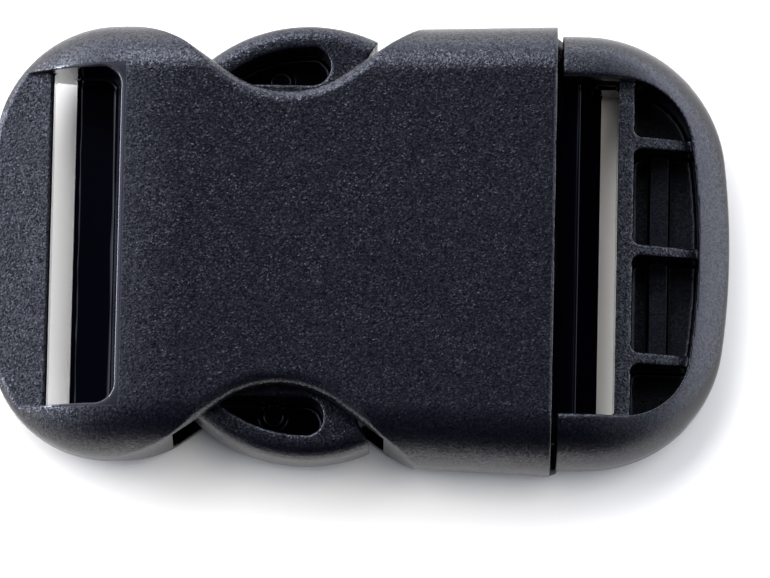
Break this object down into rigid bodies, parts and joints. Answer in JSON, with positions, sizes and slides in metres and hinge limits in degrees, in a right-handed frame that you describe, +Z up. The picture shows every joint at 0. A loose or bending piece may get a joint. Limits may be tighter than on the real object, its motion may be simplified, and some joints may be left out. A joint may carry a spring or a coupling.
{
  "type": "side release buckle",
  "caption": "Fastened side release buckle for flat webbing, with a waisted female half, sprung side catches and a ribbed webbing bar.",
  "frame": {"origin": "centre of the footprint, on the surface that the buckle lies on", "axes": "+X along the pull, from the female half's webbing bar to the male half's tail, +Y across the webbing, +Z up"},
  "size_m": [0.0576, 0.0354, 0.0096],
  "materials": {
    "moulding": "spark eroded grain, black acetal"
  },
  "bodies": {
    "root": {"socket": "moulding", "insert": "moulding"}
  },
  "joints": []
}
